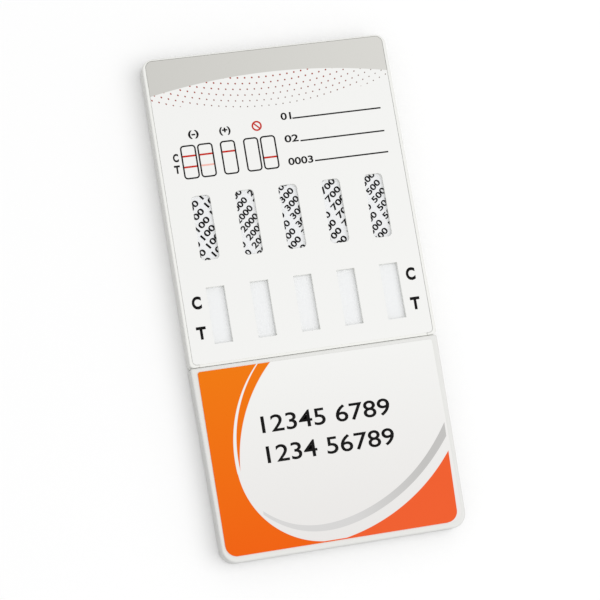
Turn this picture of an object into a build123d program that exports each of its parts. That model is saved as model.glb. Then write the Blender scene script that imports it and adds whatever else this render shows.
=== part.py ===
from build123d import *
import os

# A dip card with five lateral flow strips, lying on its back, in millimetres.
# X runs across the card, Y from the cap to the plain end, and Z out of the printed front.
# The origin is on the table, under the middle of the card.

os.makedirs("parts", exist_ok=True)

# Card seen from the front
body_length = 63.55
cap_length = 39.25
mouth_gap = 0.05
end_radius = 2.1
shoulder_radius = 0.9
cap_corner_radius = 3.0
cap_mouth_radius = 0.5

# Stack of the tongue inside the cap, from the table up
cap_back_wall = 0.6
cap_clearance = 0.13
tongue_floor = 0.8
rest_height = 1.77
backing_thickness = 0.3
sample_pad_thickness = 0.45
pad_recess = 0.05
cap_front_wall = 0.45
label_thickness = 0.12

# Body shells
floor_step = 0.17
shell_wall = 1.3
rim_width = 0.62
end_rim_width = 0.3
shoulder_rim_width = 0.45
cover_gap = 0.05
cover_plate = 0.5
label_sink = 0.03
label_margin = 0.03
tab_clearance = 0.15
foot_edge_radius = 0.5
rim_edge_chamfer = 0.15
cover_rib_thickness = 0.6
cover_rib_depth = 1.4
cover_rib_count = 2

# Cap walls and tongue
cap_side_wall = 1.2
cap_end_wall = 1.2
cap_taper = 0.55
cap_edge_radius = 0.4
tongue_side_land = 2.2
tongue_side_clearance = 0.35
tongue_tip_clearance = 1.2
tongue_wall = 0.8
tongue_corner_radius = 1.5

# Strips and their channels
strip_count = 5
strip_pitch = 9.0
strip_width = 5.0
strip_tip_gap = 1.0
channel_clearance = 0.15
channel_wall = 0.6
rest_thickness = 0.8
rest_from_end = 1.6
rest_count = 11
conjugate_pad_length = 10.0
membrane_length = 24.0
absorbent_pad_length = 18.0
conjugate_pad_thickness = 0.3
membrane_thickness = 0.2
pad_lap = 1.5
wick_lap = 2.0
tape_width = 4.6
tape_overlap = 0.85
tape_thickness = 0.06
tape_gap = 0.04

# Windows over the membranes and over the absorbent pads
result_window_width = 3.8
result_window_length = 11.5
result_window_from_shoulder = 9.95
membrane_below_window = 11.85
name_window_width = 3.9
name_window_length = 13.3
name_window_radius = 0.9
name_window_on_pad = 7.75
well_wall = 0.5
well_gap = 0.1

# Posts of the back shell that take the pegs of the front shell
post_row_count = 3
post_from_shoulder = 18.6
post_from_end = 6.15
post_length = 2.9
peg_diameter = 1.1
peg_clearance = 0.05
peg_length = 1.9
socket_spare_depth = 0.4

# Printed label of the cap
cap_label_from_side = 0.75
cap_label_from_mouth = 0.9
cap_label_from_end = 1.25
cap_label_radius = 2.3

# Widths, which grow from the row of strips outwards
channel_width = strip_width + 2 * channel_clearance
channel_row_width = (strip_count - 1) * strip_pitch + channel_width + 2 * channel_wall
tongue_width = channel_row_width + 2 * tongue_side_land
tab_opening = tongue_width + 2 * tab_clearance
cap_end_width = tongue_width + 2 * (tongue_side_clearance + cap_side_wall)
card_width = cap_end_width + 2 * cap_taper

# Places along Y
card_length = body_length + mouth_gap + cap_length
top_y = card_length / 2
shoulder_y = top_y - body_length
mouth_y = shoulder_y - mouth_gap
cap_end_y = mouth_y - cap_length
tongue_tip_y = cap_end_y + cap_end_wall + tongue_tip_clearance
result_window_y = shoulder_y + result_window_from_shoulder

# Places where the layers of a strip begin and end
strip_low_y = tongue_tip_y + strip_tip_gap
membrane_low_y = result_window_y - membrane_below_window
membrane_high_y = membrane_low_y + membrane_length
conjugate_pad_high_y = membrane_low_y + pad_lap
conjugate_pad_low_y = conjugate_pad_high_y - conjugate_pad_length
sample_pad_high_y = conjugate_pad_low_y + pad_lap
absorbent_pad_low_y = membrane_high_y - wick_lap
strip_high_y = absorbent_pad_low_y + absorbent_pad_length
name_window_y = absorbent_pad_low_y + name_window_on_pad

# Channels, rests, posts and ribs
channel_high_y = strip_high_y + channel_clearance
channel_middle_y = (tongue_tip_y + channel_high_y) / 2
rest_spacing = (channel_high_y - tongue_tip_y - 2 * rest_from_end) / (rest_count - 1)
post_high_y = top_y - post_from_end
post_row_spacing = (post_high_y - shoulder_y - post_from_shoulder) / (post_row_count - 1)
post_grid_y = (post_high_y + shoulder_y + post_from_shoulder) / 2
socket_width = peg_diameter + 2 * peg_clearance
cover_rib_spacing = (post_high_y - channel_high_y) / (cover_rib_count + 1)
cover_rib_y = (post_high_y + channel_high_y) / 2

# Places along Z
tongue_low_z = cap_back_wall + cap_clearance
tongue_floor_z = tongue_low_z + tongue_floor
body_floor_z = tongue_low_z + floor_step
strip_z = tongue_floor_z + rest_height
backing_z = strip_z + backing_thickness
sample_pad_z = backing_z + sample_pad_thickness
conjugate_pad_z = backing_z + conjugate_pad_thickness
membrane_z = backing_z + membrane_thickness
tongue_high_z = sample_pad_z + pad_recess
cap_cavity_z = tongue_high_z + cap_clearance
cap_high_z = cap_cavity_z + cap_front_wall
card_height = cap_high_z + label_thickness
cover_high_z = card_height - label_sink - label_thickness
cover_low_z = cover_high_z - cover_plate
absorbent_pad_z = cover_low_z - tape_gap - tape_thickness


def panel(width, low_y, high_y, low_radius, high_radius):
    """Returns a face from low_y to high_y with its own corner radius at each end."""
    with BuildSketch(Plane.XY) as face:
        with Locations((0, (low_y + high_y) / 2)):
            Rectangle(width, high_y - low_y)
        if high_radius > 0:
            fillet(face.vertices().group_by(Axis.Y)[-1], high_radius)
        fillet(face.vertices().group_by(Axis.Y)[0], low_radius)
    return face.sketch


def cap_plan(side_wall, end_wall, mouth_radius):
    """Returns the cap's plan, narrower at its closed end and drawn in by its walls."""
    half_mouth = card_width / 2 - side_wall
    half_end = cap_end_width / 2 - side_wall
    with BuildSketch(Plane.XY) as face:
        with BuildLine():
            Polyline(
                (-half_mouth, mouth_y),
                (-half_end, cap_end_y + end_wall),
                (half_end, cap_end_y + end_wall),
                (half_mouth, mouth_y),
                close=True,
            )
        make_face()
        if mouth_radius > 0:
            fillet(face.vertices().group_by(Axis.Y)[-1], mouth_radius)
        fillet(face.vertices().group_by(Axis.Y)[0], cap_corner_radius - end_wall)
    return face.sketch


def cover_plan(margin):
    """Returns the plan of the front shell's recess without its tab, drawn in by a margin."""
    return panel(
        card_width - 2 * (rim_width + margin),
        shoulder_y + shoulder_rim_width + margin,
        top_y - end_rim_width - margin,
        shoulder_radius - margin,
        end_radius - rim_width - margin,
    )


# Openings over each strip, square over its membrane and rounded over its tape
with BuildSketch() as windows:
    with Locations((0, result_window_y)):
        with GridLocations(strip_pitch, 1, strip_count, 1):
            Rectangle(result_window_width, result_window_length)
    with Locations((0, name_window_y)):
        with GridLocations(strip_pitch, 1, strip_count, 1):
            RectangleRounded(name_window_width, name_window_length, name_window_radius)

# Back shell: a tray with a rim, the tongue, the strip channels and the posts
with BuildPart() as back_shell:
    with BuildSketch():
        add(panel(card_width, shoulder_y, top_y, shoulder_radius, end_radius))
    extrude(amount=card_height)
    fillet(back_shell.faces().sort_by(Axis.Z)[0].edges(), foot_edge_radius)
    chamfer(back_shell.faces().sort_by(Axis.Z)[-1].edges(), rim_edge_chamfer)
    # The tongue stands on its own floor, clear of the cap
    with BuildSketch(Plane.XY.offset(tongue_low_z)):
        add(panel(tongue_width, tongue_tip_y, shoulder_y + shell_wall, tongue_corner_radius, 0))
    extrude(amount=tongue_high_z - tongue_low_z)
    # Hollows of the body and of the tongue, with the shoulder wall left between them
    with BuildSketch(Plane.XY.offset(body_floor_z)):
        add(
            panel(
                card_width - 2 * shell_wall,
                shoulder_y + shell_wall,
                top_y - shell_wall,
                shoulder_radius,
                end_radius,
            )
        )
    extrude(amount=card_height, mode=Mode.SUBTRACT)
    with BuildSketch(Plane.XY.offset(tongue_floor_z)):
        add(
            panel(
                tongue_width - 2 * tongue_wall,
                tongue_tip_y + tongue_wall,
                shoulder_y,
                tongue_corner_radius - tongue_wall,
                0,
            )
        )
    extrude(amount=card_height, mode=Mode.SUBTRACT)
    # Recess for the front shell, open at the shoulder for its tab
    with BuildSketch(Plane.XY.offset(cover_low_z)):
        add(cover_plan(0))
        with Locations((0, shoulder_y)):
            Rectangle(tab_opening, 2 * shoulder_rim_width + 2 * shoulder_radius)
    extrude(amount=card_height, mode=Mode.SUBTRACT)
    # Side walls of the channels, closed at the plain end
    with BuildSketch(Plane.XY.offset(tongue_low_z)):
        with Locations((0, channel_middle_y + channel_wall / 2)):
            with GridLocations(strip_pitch, 1, strip_count, 1):
                Rectangle(
                    channel_width + 2 * channel_wall,
                    channel_high_y - tongue_tip_y - 2 * tongue_wall + channel_wall,
                )
                Rectangle(
                    channel_width,
                    channel_high_y - tongue_tip_y - 2 * tongue_wall - channel_wall,
                    mode=Mode.SUBTRACT,
                )
    extrude(amount=tongue_high_z - tongue_low_z)
    # Rests that carry each strip
    with BuildSketch(Plane.XY.offset(tongue_low_z)):
        with Locations((0, channel_middle_y)):
            with GridLocations(strip_pitch, rest_spacing, strip_count, rest_count):
                Rectangle(channel_width + channel_wall, rest_thickness)
    extrude(amount=strip_z - tongue_low_z)
    # Strips pass through the shoulder wall and out of the tongue's tip
    with BuildSketch(Plane.XY.offset(strip_z)):
        with Locations((0, channel_middle_y)):
            with GridLocations(strip_pitch, 1, strip_count, 1):
                Rectangle(channel_width, channel_high_y - tongue_tip_y)
    extrude(amount=card_height, mode=Mode.SUBTRACT)
    # Square posts with sockets, filling the gaps between the channels
    with BuildSketch(Plane.XY.offset(tongue_low_z)):
        with Locations((0, post_grid_y)):
            with GridLocations(strip_pitch, post_row_spacing, strip_count - 1, post_row_count):
                Rectangle(strip_pitch - channel_width, post_length)
    extrude(amount=cover_low_z - tongue_low_z)
    with BuildSketch(Plane.XY.offset(cover_low_z)):
        with Locations((0, post_grid_y)):
            with GridLocations(strip_pitch, post_row_spacing, strip_count - 1, post_row_count):
                Rectangle(socket_width, socket_width)
    extrude(amount=-(peg_length + socket_spare_depth), mode=Mode.SUBTRACT)
back_shell.part.label = "back_shell"
export_step(back_shell.part, "parts/back_shell.step")

# Front shell: the inset cover plate with its tab, window wells, ribs and pegs
with BuildPart() as front_shell:
    with BuildSketch(Plane.XY.offset(cover_low_z)):
        add(cover_plan(cover_gap))
        with Locations((0, shoulder_y + shoulder_rim_width)):
            Rectangle(tab_opening - 2 * cover_gap, 2 * shoulder_rim_width)
    extrude(amount=cover_plate)
    with BuildSketch(Plane.XY.offset(cover_low_z)):
        with Locations((0, result_window_y)):
            with GridLocations(strip_pitch, 1, strip_count, 1):
                Rectangle(result_window_width + 2 * well_wall, result_window_length + 2 * well_wall)
    extrude(amount=-(cover_low_z - membrane_z - well_gap))
    with BuildSketch(Plane.XY.offset(cover_low_z)):
        with Locations((0, cover_rib_y)):
            with GridLocations(1, cover_rib_spacing, 1, cover_rib_count):
                Rectangle(card_width - 2 * shell_wall - 2 * cover_gap, cover_rib_thickness)
    extrude(amount=-cover_rib_depth)
    with BuildSketch(Plane.XY.offset(cover_low_z)):
        with Locations((0, post_grid_y)):
            with GridLocations(strip_pitch, post_row_spacing, strip_count - 1, post_row_count):
                Circle(peg_diameter / 2)
    extrude(amount=-peg_length)
    with BuildSketch():
        add(windows.sketch)
    extrude(amount=card_height, mode=Mode.SUBTRACT)
front_shell.part.label = "front_shell"
export_step(front_shell.part, "parts/front_shell.step")

# Front label: a printed film, cut out over every window
with BuildPart() as front_label:
    with BuildSketch(Plane.XY.offset(cover_high_z)):
        add(cover_plan(cover_gap + label_margin))
        add(windows.sketch, mode=Mode.SUBTRACT)
    extrude(amount=label_thickness)
front_label.part.label = "front_label"
export_step(front_label.part, "parts/front_label.step")

# Cap: a tapered sleeve, closed at its far end
with BuildPart() as cap:
    with BuildSketch():
        add(cap_plan(0, 0, cap_mouth_radius))
    extrude(amount=cap_high_z)
    fillet(cap.faces().sort_by(Axis.Z)[0].edges(), cap_edge_radius)
    fillet(cap.faces().sort_by(Axis.Z)[-1].edges(), cap_edge_radius)
    with BuildSketch(Plane.XY.offset(cap_back_wall)):
        add(cap_plan(cap_side_wall, cap_end_wall, 0))
    extrude(amount=cap_cavity_z - cap_back_wall, mode=Mode.SUBTRACT)
cap.part.label = "cap"
export_step(cap.part, "parts/cap.step")

# Cap label: a second printed film
with BuildPart() as cap_label:
    with BuildSketch(Plane.XY.offset(cap_high_z)):
        add(
            panel(
                cap_end_width - 2 * cap_label_from_side,
                cap_end_y + cap_label_from_end,
                mouth_y - cap_label_from_mouth,
                cap_label_radius,
                cap_mouth_radius,
            )
        )
    extrude(amount=label_thickness)
cap_label.part.label = "cap_label"
export_step(cap_label.part, "parts/cap_label.step")

# Each strip: a backing card with a sample pad, a conjugate pad, a membrane, an absorbent pad and a tape
for number in range(1, strip_count + 1):
    strip_x = (number - (strip_count + 1) / 2) * strip_pitch
    side = Plane.YZ.offset(strip_x - strip_width / 2)

    with BuildPart() as backing:
        with BuildSketch(side):
            with BuildLine():
                Polyline(
                    (strip_low_y, strip_z),
                    (strip_high_y, strip_z),
                    (strip_high_y, backing_z),
                    (strip_low_y, backing_z),
                    close=True,
                )
            make_face()
        extrude(amount=strip_width)
    backing.part.label = f"strip_{number}_backing"
    export_step(backing.part, f"parts/strip_{number}_backing.step")

    # The sample pad laps over the conjugate pad
    with BuildPart() as sample_pad:
        with BuildSketch(side):
            with BuildLine():
                Polyline(
                    (strip_low_y, backing_z),
                    (conjugate_pad_low_y, backing_z),
                    (conjugate_pad_low_y, conjugate_pad_z),
                    (sample_pad_high_y, conjugate_pad_z),
                    (sample_pad_high_y, sample_pad_z),
                    (strip_low_y, sample_pad_z),
                    close=True,
                )
            make_face()
        extrude(amount=strip_width)
    sample_pad.part.label = f"strip_{number}_sample_pad"
    export_step(sample_pad.part, f"parts/strip_{number}_sample_pad.step")

    # The conjugate pad laps over the membrane
    with BuildPart() as conjugate_pad:
        with BuildSketch(side):
            with BuildLine():
                Polyline(
                    (conjugate_pad_low_y, backing_z),
                    (membrane_low_y, backing_z),
                    (membrane_low_y, membrane_z),
                    (conjugate_pad_high_y, membrane_z),
                    (conjugate_pad_high_y, conjugate_pad_z),
                    (conjugate_pad_low_y, conjugate_pad_z),
                    close=True,
                )
            make_face()
        extrude(amount=strip_width)
    conjugate_pad.part.label = f"strip_{number}_conjugate_pad"
    export_step(conjugate_pad.part, f"parts/strip_{number}_conjugate_pad.step")

    with BuildPart() as membrane:
        with BuildSketch(side):
            with BuildLine():
                Polyline(
                    (membrane_low_y, backing_z),
                    (membrane_high_y, backing_z),
                    (membrane_high_y, membrane_z),
                    (membrane_low_y, membrane_z),
                    close=True,
                )
            make_face()
        extrude(amount=strip_width)
    membrane.part.label = f"strip_{number}_membrane"
    export_step(membrane.part, f"parts/strip_{number}_membrane.step")

    # The absorbent pad laps over the other end of the membrane
    with BuildPart() as absorbent_pad:
        with BuildSketch(side):
            with BuildLine():
                Polyline(
                    (strip_high_y, backing_z),
                    (membrane_high_y, backing_z),
                    (membrane_high_y, membrane_z),
                    (absorbent_pad_low_y, membrane_z),
                    (absorbent_pad_low_y, absorbent_pad_z),
                    (strip_high_y, absorbent_pad_z),
                    close=True,
                )
            make_face()
        extrude(amount=strip_width)
    absorbent_pad.part.label = f"strip_{number}_absorbent_pad"
    export_step(absorbent_pad.part, f"parts/strip_{number}_absorbent_pad.step")

    with BuildPart() as name_tape:
        with BuildSketch(Plane.XY.offset(absorbent_pad_z)):
            with Locations((strip_x, name_window_y)):
                Rectangle(tape_width, name_window_length + 2 * tape_overlap)
        extrude(amount=tape_thickness)
    name_tape.part.label = f"strip_{number}_name_tape"
    export_step(name_tape.part, f"parts/strip_{number}_name_tape.step")
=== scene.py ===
"""Dresses a five-strip lateral flow dip card: its finishes, its print, and the studio it lies in."""

import logging
import math
from dataclasses import dataclass
from enum import Enum
from typing import Any, Sequence, Union

import bmesh
import bpy
from mathutils import Euler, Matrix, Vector


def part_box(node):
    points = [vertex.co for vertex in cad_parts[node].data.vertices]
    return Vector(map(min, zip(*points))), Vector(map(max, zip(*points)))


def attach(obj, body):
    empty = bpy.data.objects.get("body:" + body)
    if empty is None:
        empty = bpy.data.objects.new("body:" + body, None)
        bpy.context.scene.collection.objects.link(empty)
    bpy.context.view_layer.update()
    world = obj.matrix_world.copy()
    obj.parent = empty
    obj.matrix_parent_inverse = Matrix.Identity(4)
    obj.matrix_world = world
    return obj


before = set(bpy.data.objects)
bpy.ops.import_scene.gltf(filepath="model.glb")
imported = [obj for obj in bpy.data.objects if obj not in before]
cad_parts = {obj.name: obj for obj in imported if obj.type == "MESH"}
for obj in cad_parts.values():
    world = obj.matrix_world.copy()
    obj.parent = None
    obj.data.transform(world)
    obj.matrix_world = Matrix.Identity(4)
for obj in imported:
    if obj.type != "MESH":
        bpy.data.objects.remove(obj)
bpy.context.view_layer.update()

MM = 0.001
INK_GLOSS = 0.08
log = logging.getLogger("dip_card")

Point = tuple[float, float]
Colour = tuple[float, float, float]


def from_screen(red: int, green: int, blue: int) -> Colour:
    """Turns a colour as a screen shows it into the linear colour that shaders take.

    Args:
        red: Red, 0 to 255.
        green: Green, 0 to 255.
        blue: Blue, 0 to 255.

    Returns:
        The same colour in linear light.
    """

    def linear(level: int) -> float:
        share = level / 255
        return share / 12.92 if share <= 0.04045 else ((share + 0.055) / 1.055) ** 2.4

    return (linear(red), linear(green), linear(blue))


class Body(Enum):
    """The bodies that a piece can ride on."""

    CARD = "body"
    CAP = "cap"


class Slot(Enum):
    """The material slots of the record."""

    SHELL = "shell_plastic"
    CAP = "cap_plastic"
    LABEL = "label_film"
    BACKING = "strip_backing"
    PAD = "strip_pad"
    MEMBRANE = "strip_membrane"
    TAPE = "strip_tape"


class Signal:
    """A number that changes over a surface. Arithmetic on it adds Math nodes."""

    def __init__(self, nodes: "Nodes", socket: bpy.types.NodeSocket) -> None:
        """Wraps an output socket of one of the nodes."""
        self.nodes = nodes
        self.socket = socket

    def math(self, operation: str, *values: "Number", clamp: bool = False) -> "Signal":
        """Adds one Math node.

        Args:
            operation: The node's operation.
            *values: Its inputs, in order.
            clamp: Whether the result is kept between 0 and 1.

        Returns:
            The node's result.
        """
        settings = {"operation": operation, "use_clamp": clamp}
        node = self.nodes.add("ShaderNodeMath", settings, dict(enumerate(values)))
        return Signal(self.nodes, node.outputs[0])

    def __add__(self, other: "Number") -> "Signal":
        """Returns self + other."""
        return self.math("ADD", self, other)

    def __sub__(self, other: "Number") -> "Signal":
        """Returns self - other."""
        return self.math("SUBTRACT", self, other)

    def __rsub__(self, other: "Number") -> "Signal":
        """Returns other - self."""
        return self.math("SUBTRACT", other, self)

    def __mul__(self, other: "Number") -> "Signal":
        """Returns self * other."""
        return self.math("MULTIPLY", self, other)

    def __truediv__(self, other: "Number") -> "Signal":
        """Returns self / other."""
        return self.math("DIVIDE", self, other)

    def __pow__(self, other: "Number") -> "Signal":
        """Returns self to the power of other."""
        return self.math("POWER", self, other)

    def __and__(self, other: "Signal") -> "Signal":
        """Returns where both masks hold."""
        return self.math("MINIMUM", self, other)

    def __or__(self, other: "Signal") -> "Signal":
        """Returns where either mask holds."""
        return self.math("MAXIMUM", self, other)

    __radd__ = __add__
    __rmul__ = __mul__

    def wrapped(self) -> "Signal":
        """Returns the part past the whole number, from 0 to 1."""
        return self.math("FRACT", self)

    def whole(self) -> "Signal":
        """Returns the whole number at or below this one."""
        return self.math("FLOOR", self)

    def clamped(self) -> "Signal":
        """Returns this number kept between 0 and 1."""
        return self.math("ADD", self, 0.0, clamp=True)

    def above(self, level: "Number", softness: float) -> "Signal":
        """Makes a mask with a soft edge.

        Args:
            level: Where the edge lies.
            softness: How wide the edge is.

        Returns:
            1 where this number is above the level, and 0 below it.
        """
        return ((self - level) / softness + 0.5).clamped()


Number = Union[Signal, float]


class Nodes:
    """Lays the nodes of one material or world."""

    def __init__(self, owner: bpy.types.Material | bpy.types.World) -> None:
        """Starts the owner's nodes afresh."""
        owner.use_nodes = True
        self.tree = owner.node_tree
        self.tree.nodes.clear()

    def add(
        self, kind: str, settings: dict[str, Any] | None = None, inputs: dict[Any, Any] | None = None
    ) -> bpy.types.Node:
        """Adds any node: its settings first, and then its inputs.

        Args:
            kind: The node's type.
            settings: Its properties by name. "stops" holds a colour ramp's stops.
            inputs: Values or links by the name or number of the socket.

        Returns:
            The new node.
        """
        node = self.tree.nodes.new(kind)
        for name, value in (settings or {}).items():
            if name == "stops":
                self._set_stops(node.color_ramp, value)
            else:
                setattr(node, name, value)
        for key, value in (inputs or {}).items():
            self._feed(node.inputs[key], value)
        return node

    @staticmethod
    def _set_stops(ramp: bpy.types.ColorRamp, stops: Sequence[tuple[float, Colour]]) -> None:
        """Gives a colour ramp its stops, each a place and a colour."""
        while len(ramp.elements) < len(stops):
            ramp.elements.new(1.0)
        for element, (place, colour) in zip(ramp.elements, stops):
            element.position = place
            element.color = (*colour, 1.0)

    def _feed(self, socket: bpy.types.NodeSocket, value: Any) -> None:
        """Links a signal or socket to an input, or sets its value."""
        if isinstance(value, Signal):
            value = value.socket
        if isinstance(value, bpy.types.NodeSocket):
            self.tree.links.new(value, socket)
        elif socket.type == "RGBA":
            socket.default_value = (*value, 1.0)
        else:
            socket.default_value = value

    def seen(self) -> Signal:
        """Returns 1 for rays of the camera, of reflections and of see-through pieces."""
        path = self.add("ShaderNodeLightPath").outputs
        camera, glossy, through = (
            Signal(self, path[f"Is {ray} Ray"]) for ray in ("Camera", "Glossy", "Transmission")
        )
        return camera | glossy | through


class Shader(Nodes):
    """Lays the nodes of one material, around a Principled shader."""

    def __init__(self, name: str) -> None:
        """Starts a material with that name."""
        self.material = bpy.data.materials.new(name)
        super().__init__(self.material)
        self.surface = self.add("ShaderNodeBsdfPrincipled")
        self.output = self.add("ShaderNodeOutputMaterial", {}, {"Surface": self.surface.outputs[0]})

    def set(self, **inputs: Any) -> None:
        """Sets or links inputs of the Principled shader, with _ for a space in a name."""
        for name, value in inputs.items():
            self._feed(self.surface.inputs[name.replace("_", " ")], value)

    def place(self) -> tuple[bpy.types.NodeSocket, Signal, Signal, Signal]:
        """Returns the point on the piece in millimetres, as a vector and as x, y and z."""
        coordinates = self.add("ShaderNodeTexCoord").outputs["Object"]
        scaled = self.add(
            "ShaderNodeVectorMath", {"operation": "SCALE"}, {0: coordinates, "Scale": 1 / MM}
        ).outputs[0]
        parts = self.add("ShaderNodeSeparateXYZ", {}, {0: scaled}).outputs
        return (scaled, *(Signal(self, part) for part in parts))

    def noise(self, point: Any, scale: float, detail: float = 2.0) -> Signal:
        """Adds a noise.

        Args:
            point: The point in millimetres.
            scale: How many cells a millimetre holds.
            detail: How many finer layers it has.

        Returns:
            The noise, from 0 to 1.
        """
        inputs = {"Vector": point, "Scale": scale, "Detail": detail}
        return Signal(self, self.add("ShaderNodeTexNoise", {}, inputs).outputs[0])

    def stretched(self, point: Any, stretch: Colour) -> bpy.types.NodeSocket:
        """Returns the point scaled by its own factor along each axis."""
        node = self.add("ShaderNodeVectorMath", {"operation": "MULTIPLY"}, {0: point, 1: stretch})
        return node.outputs[0]

    def mixed(self, share: Number, first: Any, second: Any) -> bpy.types.NodeSocket:
        """Mixes two colours.

        Args:
            share: How much of the second shows.
            first: The colour at 0.
            second: The colour at 1.

        Returns:
            The mixed colour.
        """
        node = self.add("ShaderNodeMix", {"data_type": "RGBA"})
        self._feed(node.inputs["Factor"], share)
        self._feed(node.inputs[6], first)
        self._feed(node.inputs[7], second)
        return node.outputs[2]

    def relief(self, height: Signal, depth: float, strength: float = 1.0) -> None:
        """Feeds a height to the surface's normal.

        Args:
            height: The height, from 0 to 1.
            depth: How deep that is, in millimetres.
            strength: How much of it shows.
        """
        inputs = {"Height": height, "Distance": depth * MM, "Strength": strength}
        self.set(Normal=self.add("ShaderNodeBump", {}, inputs).outputs[0])


@dataclass(frozen=True)
class MouldedPlastic:
    """White moulded plastic with a fine spark-eroded grain.

    Attributes:
        name: The material's name.
        colour: Its mean colour.
        shade: How far the colour drifts over the part.
        roughness: Its mean roughness.
        grain: Cells of the grain in a millimetre.
        grain_depth: Depth of the grain in millimetres.
    """

    name: str
    colour: Colour
    shade: float = 0.018
    roughness: float = 0.42
    grain: float = 7.0
    grain_depth: float = 0.004

    def material(self) -> bpy.types.Material:
        """Builds the material."""
        shader = Shader(self.name)
        point, *_ = shader.place()
        drift = shader.noise(point, 0.06)
        grain = shader.noise(point, self.grain, 3.0)
        darker = tuple(part * (1 - self.shade) for part in self.colour)
        shader.set(
            Base_Color=shader.mixed(drift, darker, self.colour),
            Roughness=self.roughness - 0.06 + drift * 0.06 + grain * 0.08,
        )
        shader.relief(grain, self.grain_depth)
        return shader.material


@dataclass(frozen=True)
class Ink:
    """Ink of one colour, printed on the film or on the tapes.

    Attributes:
        name: The material's name.
        colour: The ink's colour.
        thin: The colour where the ink is laid thinner.
        roughness: Its mean roughness.
    """

    name: str
    colour: Colour
    thin: Colour
    roughness: float = 0.45

    def material(self) -> bpy.types.Material:
        """Builds the material."""
        shader = Shader(self.name)
        point, *_ = shader.place()
        cover = shader.noise(point, 5.0, 4.0)
        shader.set(
            Base_Color=shader.mixed(cover.above(0.62, 0.25), self.colour, self.thin),
            Roughness=self.roughness + cover * 0.1,
            Specular_IOR_Level=INK_GLOSS,
        )
        return shader.material


@dataclass(frozen=True)
class FibrePad:
    """A pressed fibre pad or a fine porous membrane.

    Attributes:
        name: The material's name.
        colour: The colour of the fibres on top.
        hollow: The colour between the fibres.
        fibre: Cells of the fibres in a millimetre, across them.
        stretch: How much longer than wide the fibres are.
        depth: The relief in millimetres.
    """

    name: str
    colour: Colour
    hollow: Colour
    fibre: float = 6.0
    stretch: float = 5.0
    depth: float = 0.05

    def material(self) -> bpy.types.Material:
        """Builds the material."""
        shader = Shader(self.name)
        point, *_ = shader.place()
        along = shader.stretched(point, (1.0, 1 / self.stretch, 1.0))
        across = shader.stretched(point, (1 / self.stretch, 1.0, 1.0))
        weave = shader.noise(along, self.fibre, 3.0) | shader.noise(across, self.fibre, 3.0)
        shader.set(
            Base_Color=shader.mixed(weave.above(0.5, 0.4), self.hollow, self.colour),
            Roughness=0.95 - weave * 0.1,
        )
        shader.relief(weave, self.depth)
        return shader.material


@dataclass(frozen=True)
class FrontFilm:
    """The body's printed film: a grey field with painted shade, darker on the left and lighter on the right,
    and dots that fade out under its curved edge.

    Attributes:
        crest: Where the grey field's edge is highest, in millimetres.
        crest_bend: How fast that edge falls away on both sides.
        sag: Where the dots' lower edge is lowest.
        sag_bend: How fast that edge rises on both sides.
        row_start: Height of the middle of the row that the crest hides.
        row_bend: The bend of the rows of dots.
        row_shift: How far each row is shifted against the one above, as a share of the pitch.
        dot_shift: Shift of all the dots, as a share of the pitch.
        dot_pitch: Spacing of the dots along a row, and of the rows.
        dot_radius: Radius of the largest and of the smallest dots.
        fade: Where the dots begin to fade towards the right, and over what length.
        fade_down: Over what length the dots fade below the crest.
        edge: How soft the dots' edges are.
        field_edge: How soft the grey field's edge is.
        grey_span: Over what width the grey field's tone changes, from painted shade on the left to painted
            light on the right.
    """

    crest: Point = (-0.27, 46.155)
    crest_bend: float = 0.004
    sag: Point = (0.0, 38.9)
    sag_bend: float = 0.0057
    row_start: float = 46.47
    row_bend: float = 0.0082
    row_shift: float = 0.55
    dot_shift: float = 0.056
    dot_pitch: Point = (1.48, 1.215)
    dot_radius: Point = (0.19, 0.13)
    fade: Point = (8.0, 14.0)
    fade_down: float = 7.0
    edge: float = 0.05
    field_edge: float = 0.06
    grey_span: float = 50.0
    film: Colour = from_screen(243, 243, 241)
    grey_shaded_left: Colour = from_screen(206, 205, 200)
    grey_lit_right: Colour = from_screen(216, 215, 210)
    dot_near: Colour = from_screen(172, 62, 44)
    dot_far: Colour = from_screen(122, 104, 98)

    def material(self) -> bpy.types.Material:
        """Builds the material."""
        shader = Shader("front_film")
        point, x, y, _ = shader.place()
        crest = self.crest[1] - (x - self.crest[0]) ** 2.0 * self.crest_bend
        sag = (x - self.sag[0]) ** 2.0 * self.sag_bend + self.sag[1]
        field = y.above(crest, self.field_edge)
        # Painted light: the grey field is painted darker on the left and lighter on the right, as if lit from
        # the right
        grey = shader.mixed((x / self.grey_span + 0.5).clamped(), self.grey_shaded_left, self.grey_lit_right)
        # Dots stand along arcs that bend up on both sides, each row shifted against the next
        pitch, row_pitch = self.dot_pitch
        depth = (x**2.0 * self.row_bend - y + self.row_start) / row_pitch
        row = (depth + 0.5).whole()
        arc = x + x**3.0 * (self.row_bend**2 * 2 / 3)
        column = arc / pitch - row * self.row_shift - self.dot_shift
        across = ((column + 0.5).wrapped() - 0.5) * pitch
        along = (depth - row) * row_pitch
        reach = across * across + along * along
        fall = ((crest - y) / self.fade_down).clamped()
        fall = fall | ((x - self.fade[0]) / self.fade[1]).clamped()
        radius = self.dot_radius[0] - fall * (self.dot_radius[0] - self.dot_radius[1])
        dots = (1 - (reach**0.5).above(radius, self.edge)) & y.above(sag, self.edge)
        ink = shader.mixed(fall, self.dot_near, self.dot_far)
        printed = shader.mixed(dots, self.film, ink)
        sheen = shader.noise(point, 0.15)
        shader.set(
            Base_Color=shader.mixed(field, printed, grey),
            Roughness=0.4 + sheen * 0.08,
            Specular_IOR_Level=INK_GLOSS,
        )
        shader.relief(shader.noise(point, 1.2), 0.004)
        return shader.material


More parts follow.
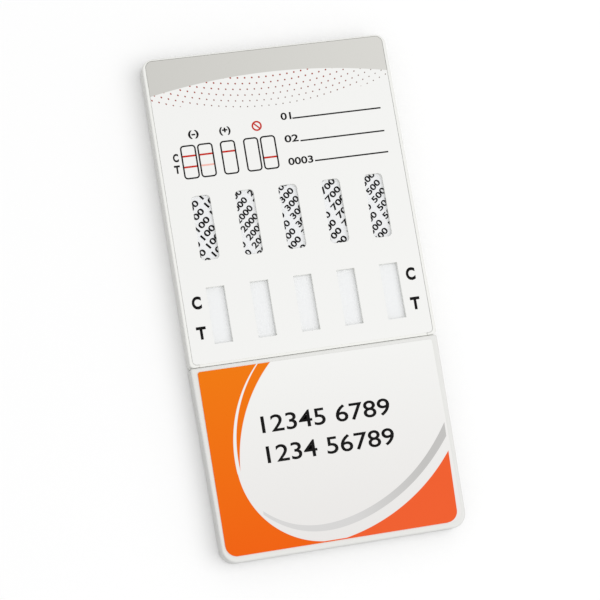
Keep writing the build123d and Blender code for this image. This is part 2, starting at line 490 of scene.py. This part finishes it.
@dataclass(frozen=True)
class CapFilm:
    """The cap's printed film: an orange field round a white disc, a red corner and a grey crescent.

    Each arc is a circle's middle and radius, in millimetres.

    Attributes:
        disc_outer: The disc's left edge.
        sliver_outer: The outer edge of the orange sliver in the disc.
        sliver_inner: The sliver's inner edge.
        disc_low: The disc's edge at the lower left.
        disc_right: The disc's edge at the lower right.
        disc_turn: Above this height only the outer arcs bound the disc.
        disc_bottom: Where the disc ends, just above the film's low edge.
        sliver_tip: Where the sliver ends.
        crescent_low: The crescent's low edge, as a curve over x from the highest power down.
        crescent_high: Its high edge.
        crescent_tip: Where its left end lies.
        crescent_span: Where its tone begins to change, and over what width.
        corner_edge: The red corner's right edge, at the middle of its rounded corner.
        corner_lean: How far that edge leans out for each millimetre up.
        corner_low: The red corner's low edge.
        corner_radius: Radius of its rounded corner.
        red_start: Where orange turns to red.
        tone_span: Where the film's painted shade and the orange's darker tone begin towards the bottom, and
            over what height.
        edge: How soft the printed edges are.
    """

    disc_outer: tuple[float, float, float] = (7.57, -31.73, 27.22)
    sliver_outer: tuple[float, float, float] = (8.89, -31.49, 27.85)
    sliver_inner: tuple[float, float, float] = (13.14, -35.85, 32.08)
    disc_low: tuple[float, float, float] = (-2.39, -32.95, 17.13)
    disc_right: tuple[float, float, float] = (-7.06, -11.08, 39.52)
    disc_turn: float = -34.3
    sliver_tip: float = -34.6
    disc_bottom: float = -49.95
    crescent_low: tuple[float, ...] = (1.325e-5, -0.0003283, 0.02027, 0.1458, -47.71)
    crescent_high: tuple[float, ...] = (1.629e-5, -0.000291, 0.01871, 0.1719, -46.24)
    crescent_tip: float = -15.7
    crescent_span: Point = (-15.0, 39.0)
    corner_edge: float = 23.3
    corner_lean: float = 0.0328
    corner_low: float = -50.15
    corner_radius: float = 2.2
    red_start: float = -1.4
    tone_span: Point = (-13.0, -37.0)
    edge: float = 0.05
    film_lit_high: Colour = from_screen(243, 243, 241)
    film_shaded_low: Colour = from_screen(233, 231, 229)
    orange_high: Colour = from_screen(241, 121, 0)
    orange_low: Colour = from_screen(240, 97, 0)
    red: Colour = from_screen(239, 94, 43)
    crescent_stops: tuple[tuple[float, Colour], ...] = (
        (0.0, from_screen(216, 215, 214)),
        (0.45, from_screen(214, 213, 212)),
        (0.85, from_screen(194, 193, 191)),
    )

    def _inside(self, x: Signal, y: Signal, arc: tuple[float, float, float]) -> Signal:
        """Returns where a point lies inside an arc's circle."""
        across = x - arc[0]
        along = y - arc[1]
        return 1 - ((across * across + along * along) ** 0.5).above(arc[2], self.edge)

    def material(self) -> bpy.types.Material:
        """Builds the material."""
        shader = Shader("cap_film")
        point, x, y, _ = shader.place()
        high = y.above(self.disc_turn, 0.01)
        disc = self._inside(x, y, self.disc_outer) & self._inside(x, y, self.disc_right)
        disc = disc & (high | self._inside(x, y, self.disc_low) | x.above(self.disc_low[0], 0.01))
        disc = disc & y.above(self.disc_bottom, self.edge)
        sliver = self._inside(x, y, self.sliver_outer) & (1 - self._inside(x, y, self.sliver_inner))
        disc = disc & (1 - (sliver & y.above(self.sliver_tip, 0.4) & (1 - x.above(0.0, 0.1))))
        # The right half's fields stop short of the film's edge, which leans, with a rounded corner
        middle_x = self.corner_edge - self.corner_radius
        middle_y = self.corner_low + self.corner_radius
        leaning = x - (y - middle_y) * self.corner_lean
        bend = self._inside(leaning, y, (middle_x, middle_y, self.corner_radius))
        straight = (1 - leaning.above(middle_x, 0.01)) | y.above(middle_y, 0.01)
        printed = (1 - leaning.above(self.corner_edge, self.edge)) & (bend | straight)
        low, high_edge = self._curve(x, self.crescent_low), self._curve(x, self.crescent_high)
        crescent = y.above(low, self.edge) & (1 - y.above(high_edge, self.edge)) & printed
        crescent = crescent & x.above(self.crescent_tip, 0.2)
        # Painted shade: the film darkens towards the cap's closed end, as if less light fell there; the
        # orange darkens over the same span
        down = ((y - self.tone_span[0]) / self.tone_span[1]).clamped()
        orange = shader.mixed(down, self.orange_high, self.orange_low)
        field = shader.mixed(x.above(self.red_start, 0.1), orange, self.red)
        film = shader.mixed(down, self.film_lit_high, self.film_shaded_low)
        along = ((x - self.crescent_span[0]) / self.crescent_span[1]).clamped()
        grey = self._ramp(shader, along, self.crescent_stops)
        white = shader.mixed(crescent, film, grey)
        inked = (1 - disc) & printed
        shader.set(
            Base_Color=shader.mixed(inked, white, field),
            Roughness=0.4 + shader.noise(point, 0.15) * 0.08,
            Specular_IOR_Level=INK_GLOSS,
        )
        shader.relief(shader.noise(point, 1.2), 0.004)
        return shader.material

    @staticmethod
    def _curve(x: Signal, parts: Sequence[float]) -> Signal:
        """Returns a polynomial's height over x, from its highest power down."""
        height = x * parts[0] + parts[1]
        for part in parts[2:]:
            height = height * x + part
        return height

    @staticmethod
    def _ramp(
        shader: Shader, place: Signal, stops: Sequence[tuple[float, Colour]]
    ) -> bpy.types.NodeSocket:
        """Returns a ramp's colour at a place from 0 to 1."""
        return shader.add("ShaderNodeValToRGB", {"stops": stops}, {0: place}).outputs[0]


class Finishes:
    """Every finish of the card, each built once."""

    def __init__(self) -> None:
        """Builds the materials."""
        self.shell = MouldedPlastic("shell_white", from_screen(240, 240, 236)).material()
        self.cap = MouldedPlastic("cap_white", from_screen(229, 229, 226), roughness=0.46).material()
        self.front_film = FrontFilm().material()
        self.cap_film = CapFilm().material()
        self.backing = MouldedPlastic("backing_card", from_screen(243, 243, 243), roughness=0.3).material()
        self.pad = FibrePad("fibre_pad", from_screen(243, 242, 238), from_screen(224, 222, 214)).material()
        self.membrane = FibrePad(
            "membrane", from_screen(244, 245, 246), from_screen(240, 241, 242), 14.0, 1.0, 0.006
        ).material()
        self.tape = FibrePad(
            "paper_tape", from_screen(243, 244, 245), from_screen(236, 237, 239), 9.0, 2.0, 0.008
        ).material()
        self.black = Ink("black_ink", from_screen(14, 13, 13), from_screen(26, 24, 24)).material()
        self.red = Ink("red_ink", from_screen(196, 36, 20), from_screen(208, 54, 36)).material()
        self.pale_red = Ink("pale_red_ink", from_screen(244, 188, 176), from_screen(246, 200, 190)).material()


class Lettering:
    """Makes flat letters out of the built-in font."""

    def __init__(self) -> None:
        """Measures the font's capitals."""
        tall = self._flat("H", 0.0, 1.0)
        self.cap_height = max(v.co.y for v in tall.vertices) - min(v.co.y for v in tall.vertices)

    @staticmethod
    def _flat(text: str, weight: float, spacing: float) -> bpy.types.Mesh:
        """Makes letters of size 1 as a flat mesh, made bolder by weight."""
        curve = bpy.data.curves.new("letters", "FONT")
        curve.body = text
        curve.offset = weight
        curve.space_character = spacing
        curve.resolution_u = 4
        letters = bpy.data.objects.new("letters", curve)
        mesh = bpy.data.meshes.new_from_object(letters)
        bpy.data.objects.remove(letters)
        bpy.data.curves.remove(curve)
        return mesh

    def mesh(
        self, text: str, cap_height: float, weight: float, spacing: float, width: float | None
    ) -> bpy.types.Mesh:
        """Makes letters centred on the origin.

        Args:
            text: What they say.
            cap_height: Height of a capital, in millimetres.
            weight: How far their outline stands out from the font's, for letters of size 1.
            spacing: Spacing of the letters, where 1 is the font's own.
            width: Overall width in millimetres, or None for the font's own.

        Returns:
            A flat mesh in millimetres.
        """
        mesh = self._flat(text, weight, spacing)
        grow = cap_height / (self.cap_height + 2 * weight)
        left = min(v.co.x for v in mesh.vertices)
        right = max(v.co.x for v in mesh.vertices)
        stretch = width / (right - left) if width else grow
        for vertex in mesh.vertices:
            vertex.co.x = (vertex.co.x - (left + right) / 2) * stretch
            vertex.co.y = (vertex.co.y - self.cap_height / 2) * grow
        return mesh


class Stencil:
    """Collects flat shapes, in millimetres, and prints them as one thin closed layer of ink."""

    def __init__(self, lettering: Lettering) -> None:
        """Starts with no shapes."""
        self.lettering = lettering
        self.shapes = bmesh.new()

    def polygon(self, points: Sequence[Point]) -> None:
        """Adds one convex shape from its corners."""
        self.shapes.faces.new([self.shapes.verts.new((x, y, 0.0)) for x, y in points])

    def bar(self, start: Point, end: Point, width: float) -> None:
        """Adds a straight bar of a given width between two points."""
        along = Vector((end[0] - start[0], end[1] - start[1])).normalized()
        side = Vector((-along.y, along.x)) * width / 2
        self.polygon(
            [
                (start[0] - side.x, start[1] - side.y),
                (end[0] - side.x, end[1] - side.y),
                (end[0] + side.x, end[1] + side.y),
                (start[0] + side.x, start[1] + side.y),
            ]
        )

    def band(self, outer: Sequence[Point], inner: Sequence[Point]) -> None:
        """Adds the band between two closed outlines with as many points each."""
        rims = [[self.shapes.verts.new((x, y, 0.0)) for x, y in rim] for rim in (outer, inner)]
        count = len(outer)
        for i in range(count):
            j = (i + 1) % count
            self.shapes.faces.new((rims[0][i], rims[0][j], rims[1][j], rims[1][i]))

    def ring(self, middle: Point, radius: float, width: float, sides: int = 40) -> None:
        """Adds a ring, whose line runs along the radius."""
        turns = [2 * math.pi * i / sides for i in range(sides)]
        rims = [
            [(middle[0] + math.cos(t) * r, middle[1] + math.sin(t) * r) for t in turns]
            for r in (radius + width / 2, radius - width / 2)
        ]
        self.band(*rims)

    def frame(self, middle: Point, size: Point, corner: float, line: float) -> None:
        """Adds the outline of a rounded box.

        Args:
            middle: The box's middle.
            size: Its width and height, at the middle of the line.
            corner: The corners' radius.
            line: The line's width.
        """
        self.band(
            rounded_box(middle, (size[0] + line, size[1] + line), corner + line / 2),
            rounded_box(middle, (size[0] - line, size[1] - line), corner - line / 2),
        )

    def words(
        self,
        text: str,
        middle: Point,
        cap_height: float,
        weight: float = 0.0,
        spacing: float = 1.0,
        width: float | None = None,
        turn: float = 0.0,
    ) -> None:
        """Adds letters.

        Args:
            text: What they say.
            middle: Where their middle lies.
            cap_height: Height of a capital.
            weight: How far their outline stands out from the font's, for letters of size 1.
            spacing: Spacing of the letters, where 1 is the font's own.
            width: Overall width, or None for the font's own.
            turn: Angle in degrees.
        """
        mesh = self.lettering.mesh(text, cap_height, weight, spacing, width)
        mesh.transform(Euler((0.0, 0.0, math.radians(turn))).to_matrix().to_4x4())
        for vertex in mesh.vertices:
            vertex.co.x += middle[0]
            vertex.co.y += middle[1]
        self.shapes.from_mesh(mesh)
        bpy.data.meshes.remove(mesh)

    def trim(self, low: Point, high: Point) -> None:
        """Cuts off what lies outside a box."""
        cuts = [(low, (-1, 0, 0)), (low, (0, -1, 0)), (high, (1, 0, 0)), (high, (0, 1, 0))]
        for corner, out in cuts:
            everything = [*self.shapes.verts, *self.shapes.edges, *self.shapes.faces]
            bmesh.ops.bisect_plane(
                self.shapes,
                geom=everything,
                plane_co=(*corner, 0.0),
                plane_no=out,
                clear_outer=True,
            )

    def press(
        self,
        name: str,
        level: float,
        depth: float,
        finish: bpy.types.Material,
        body: Body,
    ) -> bpy.types.Object:
        """Prints the shapes as one closed piece.

        Args:
            name: The piece's name.
            level: Height of the surface that it is printed on, in metres.
            depth: Thickness of the ink, in millimetres.
            finish: The ink's material.
            body: The body that it rides on.

        Returns:
            The piece.
        """
        shapes = self.shapes
        bmesh.ops.remove_doubles(shapes, verts=shapes.verts, dist=1e-4)
        bmesh.ops.recalc_face_normals(shapes, faces=shapes.faces)
        for face in shapes.faces:
            if face.normal.z < 0:
                face.normal_flip()
        rims = [edge for edge in shapes.edges if edge.is_boundary]
        everything = [*shapes.verts, *shapes.edges, *shapes.faces]
        copied = bmesh.ops.duplicate(shapes, geom=everything)
        lower = copied["vert_map"]
        for face in [f for f in copied["geom"] if isinstance(f, bmesh.types.BMFace)]:
            face.normal_flip()
        for edge in rims:
            loop = edge.link_loops[0]
            first, second = loop.vert, loop.link_loop_next.vert
            shapes.faces.new((second, first, lower[first], lower[second]))
        copies = {v for v in copied["geom"] if isinstance(v, bmesh.types.BMVert)}
        for vertex in shapes.verts:
            vertex.co = Vector((vertex.co.x * MM, vertex.co.y * MM, level))
            if vertex not in copies:
                vertex.co.z += depth * MM
        mesh = bpy.data.meshes.new(name)
        shapes.to_mesh(mesh)
        shapes.free()
        mesh.materials.append(finish)
        piece = bpy.data.objects.new(name, mesh)
        bpy.context.scene.collection.objects.link(piece)
        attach(piece, body.value)
        log.info("%s: %d faces on %s", name, len(mesh.polygons), body.value)
        return piece


def rounded_box(middle: Point, size: Point, corner: float, steps: int = 5) -> list[Point]:
    """Works out the outline of a box with rounded corners.

    Args:
        middle: The box's middle.
        size: Its width and height.
        corner: The corners' radius.
        steps: Edges in each corner.

    Returns:
        The outline's points, counter-clockwise.
    """
    points = []
    for quarter, (side_x, side_y) in enumerate([(1, 1), (-1, 1), (-1, -1), (1, -1)]):
        centre_x = middle[0] + side_x * (size[0] / 2 - corner)
        centre_y = middle[1] + side_y * (size[1] / 2 - corner)
        for step in range(steps + 1):
            turn = math.pi / 2 * (quarter + step / steps)
            points.append((centre_x + math.cos(turn) * corner, centre_y + math.sin(turn) * corner))
    return points


def dress(node: str, finish: bpy.types.Material) -> None:
    """Gives a solid of the frame its finish.

    Args:
        node: The node's name.
        finish: The material.
    """
    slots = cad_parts[node].data.materials
    slots.clear()
    slots.append(finish)
    log.info("%s: %s", node, finish.name)


@dataclass
class Shells:
    """The two moulded shells of the body."""

    nodes: tuple[str, ...] = ("back_shell", "front_shell")

    def build(self, finishes: Finishes) -> None:
        """Dresses both shells."""
        for node in self.nodes:
            dress(node, finishes.shell)


@dataclass
class FrontPrint:
    """The body's film and what is printed on it. Sizes and places are in millimetres.

    Attributes:
        ink: Thickness of the ink.
        zone_letters: Each letter beside the square windows, with its middle and width.
        zone_height: Height of those letters.
        bold: How far the letters' outline stands out from the font's.
        legend_boxes: The left and right edge of each box of the legend.
        legend_span: Low and high edge of the boxes.
        legend_corner: Radius of their corners.
        legend_line: Width of their lines.
        control_line: Height of the upper red line.
        test_line: Height of the lower red line.
        line_width: Width of the red lines.
        ring_line: Width of the ring's line.
        control_boxes: The boxes with the upper line.
        test_boxes: The boxes with the lower line.
        faint_boxes: The boxes with a faint lower line.
        legend_letters: Each letter of the legend, with its middle and width.
        legend_height: Height of those letters.
        signs: Each sign over the boxes, with its middle and width.
        sign_height: Height of a capital beside the signs.
        invalid_middle: Middle of the ring.
        invalid_radius: Radius of the ring, at the middle of its line.
        entry_lines: Start, end and height of each line to write on.
        entry_width: Width of those lines.
        entry_numbers: The number before each line, with its middle and width.
        entry_height: Height of those numbers.
        entry_bold: How far their outline stands out from the font's.
    """

    ink: float = 0.01
    zone_letters: tuple[tuple[str, Point, float], ...] = (
        ("C", (-22.20, 0.72), 1.95),
        ("T", (-22.18, -5.42), 1.98),
        ("C", (22.28, 0.80), 1.95),
        ("T", (22.24, -5.31), 1.98),
    )
    zone_height: float = 2.6
    bold: float = 0.045
    legend_boxes: tuple[Point, ...] = (
        (-20.58, -17.35),
        (-17.06, -13.84),
        (-12.36, -9.19),
        (-7.54, -4.37),
        (-4.04, -0.82),
    )
    legend_span: Point = (25.90, 32.94)
    legend_corner: float = 0.6
    legend_line: float = 0.31
    control_line: float = 30.67
    test_line: float = 28.42
    line_width: float = 0.36
    ring_line: float = 0.33
    control_boxes: tuple[int, ...] = (0, 1, 2)
    test_boxes: tuple[int, ...] = (0, 4)
    faint_boxes: tuple[int, ...] = (1,)
    legend_letters: tuple[tuple[str, Point, float], ...] = (
        ("C", (-21.70, 30.56), 1.15),
        ("T", (-21.75, 28.17), 1.2),
    )
    legend_height: float = 1.7
    signs: tuple[tuple[str, Point, float], ...] = (
        ("(-)", (-17.37, 35.17), 2.2),
        ("(+)", (-10.86, 35.12), 2.35),
    )
    sign_height: float = 1.35
    invalid_middle: Point = (-4.19, 35.19)
    invalid_radius: float = 0.89
    entry_lines: tuple[tuple[float, float, float], ...] = (
        (3.42, 22.12, 35.90),
        (4.30, 22.09, 31.04),
        (6.61, 22.12, 26.55),
    )
    entry_width: float = 0.3
    entry_numbers: tuple[tuple[str, Point, float], ...] = (
        ("01", (2.13, 36.5), 2.2),
        ("02", (2.52, 31.75), 2.9),
        ("0003", (3.67, 26.99), 5.2),
    )
    entry_height: float = 1.5
    entry_bold: float = 0.022

    def build(self, finishes: Finishes, lettering: Lettering) -> None:
        """Dresses the film and prints every mark.

        Args:
            finishes: The finishes.
            lettering: The maker of letters.
        """
        dress("front_label", finishes.front_film)
        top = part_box("front_label")[1].z
        black = Stencil(lettering)
        for letter, middle, width in self.zone_letters:
            black.words(letter, middle, self.zone_height, weight=self.bold, width=width)
        self._press(black, "zone_letters", top, finishes.black)
        self._press(self._legend_frames(lettering), "legend_frames", top, finishes.black)
        self._press(self._legend_marks(lettering), "legend_marks", top, finishes.black)
        strong = Stencil(lettering)
        for boxes, height in ((self.control_boxes, self.control_line), (self.test_boxes, self.test_line)):
            self._lines(strong, boxes, height)
        self._press(strong, "legend_lines", top, finishes.red)
        faint = Stencil(lettering)
        self._lines(faint, self.faint_boxes, self.test_line)
        self._press(faint, "legend_faint_line", top, finishes.pale_red)
        self._press(self._invalid_ring(lettering), "legend_ring", top, finishes.red)
        self._press(self._entries(lettering), "entry_lines", top, finishes.black)

    def _press(self, stencil: Stencil, name: str, top: float, ink: bpy.types.Material) -> None:
        """Prints one stencil on the film."""
        stencil.press(name, top, self.ink, ink, Body.CARD)

    def _legend_frames(self, lettering: Lettering) -> Stencil:
        """Returns the outlines of the legend's boxes."""
        stencil = Stencil(lettering)
        low, high = self.legend_span
        for left, right in self.legend_boxes:
            size = (right - left - self.legend_line, high - low - self.legend_line)
            middle = ((left + right) / 2, (low + high) / 2)
            stencil.frame(middle, size, self.legend_corner, self.legend_line)
        return stencil

    def _legend_marks(self, lettering: Lettering) -> Stencil:
        """Returns the legend's letters and signs."""
        stencil = Stencil(lettering)
        for letter, middle, width in self.legend_letters:
            stencil.words(letter, middle, self.legend_height, weight=self.bold, width=width)
        for sign, middle, width in self.signs:
            stencil.words(sign, middle, self.sign_height, weight=self.bold, width=width)
        return stencil

    def _lines(self, stencil: Stencil, boxes: Sequence[int], height: float) -> None:
        """Adds a line across each of the named boxes."""
        for box in boxes:
            left, right = self.legend_boxes[box]
            inset = self.legend_line * 0.5
            stencil.bar((left + inset, height), (right - inset, height), self.line_width)

    def _invalid_ring(self, lettering: Lettering) -> Stencil:
        """Returns the ring with a bar that heads the last two boxes."""
        stencil = Stencil(lettering)
        stencil.ring(self.invalid_middle, self.invalid_radius, self.ring_line)
        x, y = self.invalid_middle
        reach = (self.invalid_radius - self.ring_line / 2) * math.sqrt(0.5)
        stencil.bar((x - reach, y + reach), (x + reach, y - reach), self.ring_line * 0.9)
        return stencil

    def _entries(self, lettering: Lettering) -> Stencil:
        """Returns the lines to write on, with a plain number before each."""
        stencil = Stencil(lettering)
        for left, right, height in self.entry_lines:
            stencil.bar((left, height), (right, height), self.entry_width)
        for number, middle, width in self.entry_numbers:
            stencil.words(number, middle, self.entry_height, weight=self.entry_bold, width=width)
        return stencil


@dataclass
class Strips:
    """The five strips: their layers, and the tapes with slanting rows of plain numbers.

    Attributes:
        numbers: The number that each tape repeats, with the middle and the width of one of its prints.
        digit_height: Height of the numbers in millimetres.
        bold: How far the numbers' outline stands out from the font's.
        row_pitch: Spacing of the rows.
        row_shift: How far each row is shifted along itself against the one above.
        word_gap: Gap between the numbers along a row.
        rows: How many rows are tried on each side of the first.
        words: How many numbers are tried on each side of the first.
        slant: Angle of the rows in degrees.
        margin: How far the print stops short of the tape's edges.
        ink: Thickness of the ink.
    """

    numbers: tuple[tuple[str, Point, float], ...] = (
        ("100", (-18.35, 16.60), 3.6),
        ("2000", (-8.80, 15.68), 4.6),
        ("300", (0.51, 18.53), 3.6),
        ("700", (9.25, 19.33), 3.9),
        ("500", (17.84, 19.74), 3.6),
    )
    digit_height: float = 1.3
    bold: float = 0.03
    row_pitch: float = 1.92
    row_shift: float = -0.5
    word_gap: float = 1.0
    rows: int = 12
    words: int = 5
    slant: float = 40.0
    margin: float = 0.02
    ink: float = 0.01

    def build(self, finishes: Finishes, lettering: Lettering) -> None:
        """Dresses every layer and prints every tape.

        Args:
            finishes: The finishes.
            lettering: The maker of letters.
        """
        layers = {
            "backing": finishes.backing,
            "sample_pad": finishes.pad,
            "conjugate_pad": finishes.pad,
            "membrane": finishes.membrane,
            "absorbent_pad": finishes.pad,
            "name_tape": finishes.tape,
        }
        for number in range(1, len(self.numbers) + 1):
            for layer, finish in layers.items():
                dress(f"strip_{number}_{layer}", finish)
            self._print_tape(number, finishes, lettering)

    def _print_tape(self, number: int, finishes: Finishes, lettering: Lettering) -> None:
        """Prints one tape, trimmed at its edges."""
        low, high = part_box(f"strip_{number}_name_tape")
        low_corner = (low.x / MM + self.margin, low.y / MM + self.margin)
        high_corner = (high.x / MM - self.margin, high.y / MM - self.margin)
        text, start, width = self.numbers[number - 1]
        stencil = Stencil(lettering)
        angle = math.radians(self.slant)
        along = Vector((math.cos(angle), math.sin(angle)))
        down = Vector((math.sin(angle), -math.cos(angle)))
        reach = (width + self.digit_height) / 2
        for row in range(-self.rows, self.rows + 1):
            for word in range(-self.words, self.words + 1):
                shift = word * (width + self.word_gap) + row * self.row_shift
                spot = Vector(start) + along * shift + down * row * self.row_pitch
                inside_x = low_corner[0] - reach < spot.x < high_corner[0] + reach
                if inside_x and low_corner[1] - reach < spot.y < high_corner[1] + reach:
                    stencil.words(
                        text, tuple(spot), self.digit_height, self.bold, width=width, turn=self.slant
                    )
        stencil.trim(low_corner, high_corner)
        stencil.press(
            f"tape_{number}_print", high.z, self.ink, finishes.black, Body.CARD
        )


@dataclass
class Cap:
    """The pull-off cap, its film and its title of plain digits. Sizes are in millimetres.

    Attributes:
        rows: Each row of digits, with its middle and width.
        digit_height: Height of the digits.
        bold: How far their outline stands out from the font's.
        ink: Thickness of the ink.
    """

    rows: tuple[tuple[str, Point, float], ...] = (
        ("12345 6789", (0.0, -25.3), 26.5),
        ("1234 56789", (0.0, -31.35), 26.3),
    )
    digit_height: float = 3.35
    bold: float = 0.009
    ink: float = 0.01

    def build(self, finishes: Finishes, lettering: Lettering) -> None:
        """Dresses the cap and prints its title.

        Args:
            finishes: The finishes.
            lettering: The maker of letters.
        """
        dress("cap", finishes.cap)
        dress("cap_label", finishes.cap_film)
        stencil = Stencil(lettering)
        for digits, middle, width in self.rows:
            stencil.words(digits, middle, self.digit_height, weight=self.bold, width=width)
        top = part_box("cap_label")[1].z
        stencil.press("cap_digits", top, self.ink, finishes.black, Body.CAP)


@dataclass
class Studio:
    """The pale floor, the soft light and the camera. Lengths are in metres.

    Attributes:
        floor_size: Side of the floor.
        floor_white: The floor's own white where it is seen.
        floor_bounce: The white with which it lights the card.
        floor_glow: White added to the floor where it is seen.
        sky: Strength of the light from all around.
        key_place: Where the key lamp hangs.
        key_size: Side of the key lamp.
        key_share: What the key lamp adds to a level white surface, where 1 is as written.
        lens: Focal length in millimetres, for a sensor 36 mm wide.
        camera_place: The camera's place.
        camera_turn: Its rotation in degrees, about X, Y and Z.
    """

    floor_size: float = 4.0
    floor_white: float = 1.0
    floor_bounce: float = 0.45
    floor_glow: float = 0.01
    sky: float = 0.79
    key_place: tuple[float, float, float] = (0.38, -0.12, 0.78)
    key_size: float = 0.9
    key_share: float = 0.21
    lens: float = 132.95
    camera_place: tuple[float, float, float] = (-0.09265, -0.0652, 0.4367)
    camera_turn: tuple[float, float, float] = (10.077, -10.424, -9.590)

    def build(self) -> None:
        """Builds the floor, the light and the camera."""
        self._floor()
        self._sky()
        self._key()
        self._camera()

    def _floor(self) -> None:
        """Lays the floor, which shows white round the card and keeps its shadow."""
        half = self.floor_size / 2
        mesh = bpy.data.meshes.new("floor")
        corners = [(-half, -half, 0.0), (half, -half, 0.0), (half, half, 0.0), (-half, half, 0.0)]
        mesh.from_pydata(corners, [], [(0, 1, 2, 3)])
        floor = bpy.data.objects.new("floor", mesh)
        bpy.context.scene.collection.objects.link(floor)
        shader = Shader("floor_white")
        seen = shader.seen()
        white = shader.mixed(seen, (self.floor_bounce,) * 3, (self.floor_white,) * 3)
        shader.set(Base_Color=white, Roughness=0.9, Specular_IOR_Level=0.0)
        glow = {"Color": (1.0, 1.0, 1.0), "Strength": seen * self.floor_glow}
        light = shader.add("ShaderNodeEmission", {}, glow).outputs[0]
        both = shader.add("ShaderNodeAddShader", {}, {0: shader.surface.outputs[0], 1: light})
        shader.tree.links.new(both.outputs[0], shader.output.inputs["Surface"])
        mesh.materials.append(shader.material)

    def _sky(self) -> None:
        """Lights the card from all around and shows white behind it."""
        world = bpy.data.worlds.new("studio")
        bpy.context.scene.world = world
        nodes = Nodes(world)
        strength = nodes.seen() * (1 - self.sky) + self.sky
        light = {"Color": (1.0, 1.0, 1.0), "Strength": strength}
        sky = nodes.add("ShaderNodeBackground", {}, light).outputs[0]
        nodes.add("ShaderNodeOutputWorld", {}, {"Surface": sky})

    def _key(self) -> None:
        """Hangs the key lamp, up on the right."""
        place = Vector(self.key_place)
        lamp = bpy.data.lights.new("key_lamp", "AREA")
        lamp.shape = "DISK"
        lamp.size = self.key_size
        slope = place.z / place.length
        spread = place.length_squared + (self.key_size / 2) ** 2
        lamp.energy = self.key_share * math.pi**2 * spread / slope
        key = bpy.data.objects.new("key_lamp", lamp)
        key.location = place
        key.rotation_euler = (-place).to_track_quat("-Z", "Y").to_euler()
        bpy.context.scene.collection.objects.link(key)

    def _camera(self) -> None:
        """Sets the camera at the photograph's angle."""
        camera = bpy.data.cameras.new("camera")
        camera.lens = self.lens
        camera.sensor_width = 36.0
        holder = bpy.data.objects.new("camera", camera)
        holder.location = self.camera_place
        holder.rotation_euler = Euler([math.radians(a) for a in self.camera_turn], "XYZ")
        bpy.context.scene.collection.objects.link(holder)
        bpy.context.scene.camera = holder


def main() -> None:
    """Builds the card's looks and the studio."""
    logging.basicConfig(level=logging.INFO, format="%(name)s: %(message)s")
    scene = bpy.context.scene
    scene.view_settings.view_transform = "Standard"
    finishes = Finishes()
    lettering = Lettering()
    Shells().build(finishes)
    FrontPrint().build(finishes, lettering)
    Strips().build(finishes, lettering)
    Cap().build(finishes, lettering)
    Studio().build()


if __name__ == "__main__":
    main()
